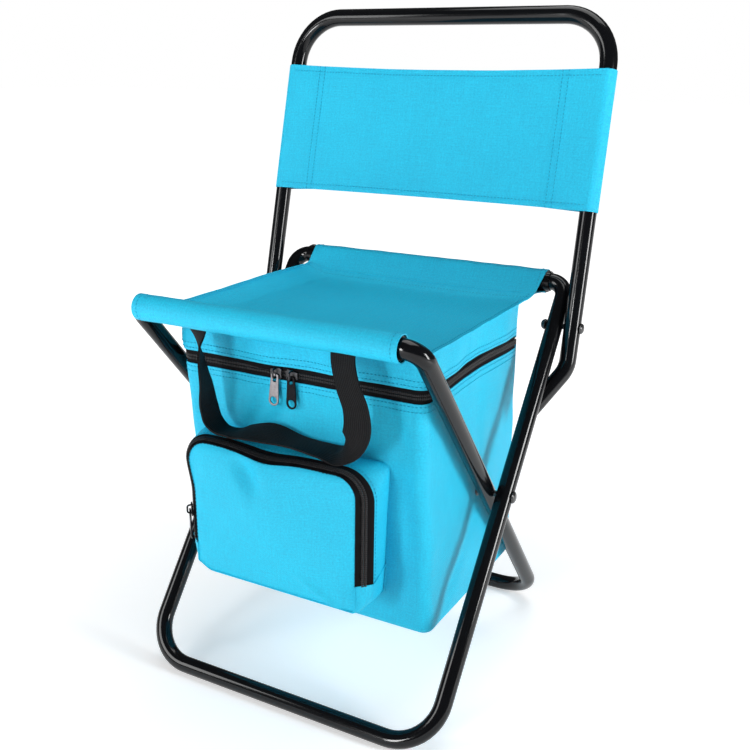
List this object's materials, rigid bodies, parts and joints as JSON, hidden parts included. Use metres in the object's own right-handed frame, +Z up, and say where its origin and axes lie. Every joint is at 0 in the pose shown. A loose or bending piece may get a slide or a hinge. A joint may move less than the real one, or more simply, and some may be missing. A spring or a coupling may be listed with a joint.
{
  "type": "folding cooler chair",
  "caption": "Folding tube-frame chair with a fabric seat, a zipped insulated bag hung under it with a front pocket and handle, and a backrest that folds forward.",
  "frame": {"origin": "middle of the base, on the floor under the chair", "axes": "+Z up, -Y the way the sitter looks, +X to the right as seen from the front"},
  "size_m": [0.3562, 0.3336, 0.6],
  "materials": {
    "black_tube": "gloss",
    "black_rivet": "satin",
    "cyan_fabric": "matte",
    "foil_lining": "satin",
    "white_foam": "matte",
    "black_zip": "matte",
    "black_webbing": "matte",
    "zip_metal": "satin"
  },
  "bodies": {
    "outer_frame": {"front_leg_frame": "black_tube", "rear_crossbar": "black_tube", "seat_rear_sleeve": "cyan_fabric", "rear_crossbar_rivet_left": "black_rivet", "rear_crossbar_rivet_right": "black_rivet", "pivot_rivet_left": "black_rivet", "pivot_rivet_right": "black_rivet", "backrest_bolt_left": "black_rivet", "backrest_bolt_right": "black_rivet", "backrest_nut_left": "black_rivet", "backrest_nut_right": "black_rivet"},
    "inner_frame": {"rear_leg_frame": "black_tube", "front_crossbar": "black_tube", "seat_front_sleeve": "cyan_fabric"},
    "backrest": {"backrest_frame": "black_tube", "backrest_panel": "cyan_fabric"},
    "bag_lid": {"seat_panel": "cyan_fabric", "lid_band": "cyan_fabric", "lid_board": "foil_lining", "main_zip_upper_tape": "black_zip"},
    "handle": {"carry_handle": "black_webbing"},
    "bag_body": {"bag_shell": "cyan_fabric", "bag_foam": "white_foam", "bag_foil": "foil_lining", "main_zip_lower_tape": "black_zip", "pocket_gusset": "cyan_fabric", "pocket_zip_outer_tape": "black_zip"},
    "pocket_front": {"pocket_flap": "cyan_fabric", "pocket_zip_inner_tape": "black_zip"},
    "left_slider": {"main_zip_left_slider": "zip_metal"},
    "right_slider": {"main_zip_right_slider": "zip_metal"},
    "left_pull": {"main_zip_left_pull": "zip_metal"},
    "right_pull": {"main_zip_right_pull": "zip_metal"},
    "pocket_slider": {"pocket_zip_slider": "zip_metal"},
    "pocket_pull": {"pocket_zip_pull": "zip_metal"}
  },
  "joints": [
    {"name": "frame_fold", "type": "hinge", "parent": "outer_frame", "child": "inner_frame", "pos_m": [0, -0.00877, 0.18928], "axis": [1, 0, 0], "range_deg": [-73, 0]},
    {"name": "seat_fold", "type": "hinge", "parent": "outer_frame", "child": "bag_lid", "pos_m": [0, -0.00877, 0.18928], "axis": [1, 0, 0], "range_deg": [-35.5, 0]},
    {"name": "backrest_fold", "type": "hinge", "parent": "outer_frame", "child": "backrest", "pos_m": [0, 0.09564, 0.32238], "axis": [1, 0, 0], "range_deg": [0, 80]},
    {"name": "handle_swing", "type": "hinge", "parent": "bag_lid", "child": "handle", "pos_m": [0, -0.14996, 0.34513], "axis": [-1, 0, 0], "range_deg": [0, 75]},
    {"name": "bag_open", "type": "hinge", "parent": "bag_lid", "child": "bag_body", "pos_m": [0, 0.0878, 0.307], "axis": [1, 0, 0], "range_deg": [0, 14]},
    {"name": "pocket_open", "type": "hinge", "parent": "bag_body", "child": "pocket_front", "pos_m": [0, -0.15152, 0.144], "axis": [1, 0, 0], "range_deg": [0, 70]},
    {"name": "left_slider_run", "type": "slide", "parent": "bag_body", "child": "left_slider", "axis": [-1, 0, 0], "range_m": [0, 0.08]},
    {"name": "right_slider_run", "type": "slide", "parent": "bag_body", "child": "right_slider", "axis": [1, 0, 0], "range_m": [0, 0.095]},
    {"name": "left_pull_lift", "type": "hinge", "parent": "left_slider", "child": "left_pull", "pos_m": [-0.018, -0.1208, 0.3058], "axis": [-1, 0, 0], "range_deg": [0, 150]},
    {"name": "right_pull_lift", "type": "hinge", "parent": "right_slider", "child": "right_pull", "pos_m": [-0.002, -0.1208, 0.3058], "axis": [-1, 0, 0], "range_deg": [0, 150]},
    {"name": "pocket_slider_run", "type": "slide", "parent": "pocket_front", "child": "pocket_slider", "axis": [0, 0, 1], "range_m": [0, 0.035]},
    {"name": "pocket_pull_lift", "type": "hinge", "parent": "pocket_slider", "child": "pocket_pull", "pos_m": [-0.09577, -0.1467, 0.1728], "axis": [-0.7071, 0.7071, 0], "range_deg": [0, 120]}
  ],
  "couplings": [
    {"joint": "seat_fold", "follows": "frame_fold", "ratio": 0.48}
  ]
}
